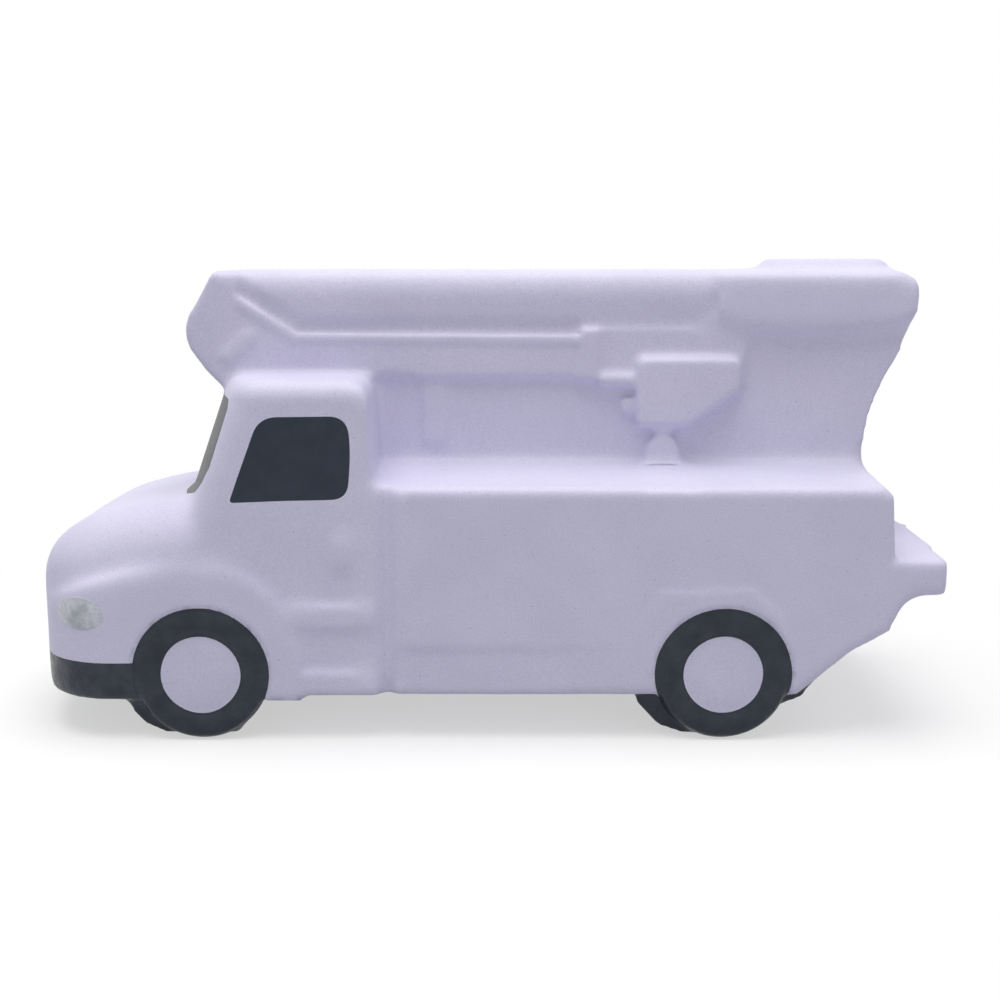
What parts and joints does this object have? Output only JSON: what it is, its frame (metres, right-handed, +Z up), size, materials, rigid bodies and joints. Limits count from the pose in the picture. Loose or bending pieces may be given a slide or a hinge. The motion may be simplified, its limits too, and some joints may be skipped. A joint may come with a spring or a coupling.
{
  "type": "foam toy bucket truck",
  "caption": "Moulded foam toy truck with a rounded hood, a boxy service body, folded booms over the cab and a bucket at the tail; tyres, bumper, windows and headlights are painted.",
  "frame": {"origin": "on the ground, at the middle of the bounding box in plan", "axes": "+X from nose to tail, +Y to the vehicle's right side, +Z up; the mould's parting plane is Y = 0"},
  "size_m": [0.12, 0.042, 0.0612],
  "materials": {
    "foam_body": "pale lavender-white skin of moulded foam, satin",
    "tyre_paint": "dark blue-grey paint on foam, slightly glossy",
    "bumper_paint": "dark blue-grey paint on foam, slightly glossy",
    "axle_paint": "dark blue-grey paint on foam",
    "headlight_paint": "silver paint with fine flakes, on foam",
    "window_paint": "dark blue-grey paint on foam, slightly glossy",
    "windscreen_paint": "grey paint with dark speckle, on foam"
  },
  "bodies": {
    "root": {"boom_bracket": "foam_body", "boom_plate": "foam_body", "boom_rest": "foam_body", "boom_web": "foam_body", "bucket": "foam_body", "bumper": "bumper_paint", "cab": "foam_body", "cylinder_lug": "foam_body", "door_handle_left": "foam_body", "door_handle_right": "foam_body", "elbow": "foam_body", "fender_left": "foam_body", "fender_right": "foam_body", "front_axle": "axle_paint", "headlight_left": "headlight_paint", "headlight_right": "headlight_paint", "hood_nose": "foam_body", "hub_front_left": "foam_body", "hub_front_right": "foam_body", "hub_rear_left": "foam_body", "hub_rear_right": "foam_body", "lift_cylinder": "foam_body", "lower_boom": "foam_body", "lower_step_left": "foam_body", "lower_step_right": "foam_body", "rear_axle": "axle_paint", "service_body": "foam_body", "side_window_left": "window_paint", "side_window_right": "window_paint", "tail_shelf": "foam_body", "turntable": "foam_body", "turret": "foam_body", "tyre_front_left": "tyre_paint", "tyre_front_right": "tyre_paint", "tyre_rear_left": "tyre_paint", "tyre_rear_right": "tyre_paint", "upper_boom": "foam_body", "upper_step_left": "foam_body", "upper_step_right": "foam_body", "windscreen": "windscreen_paint"}
  },
  "joints": []
}
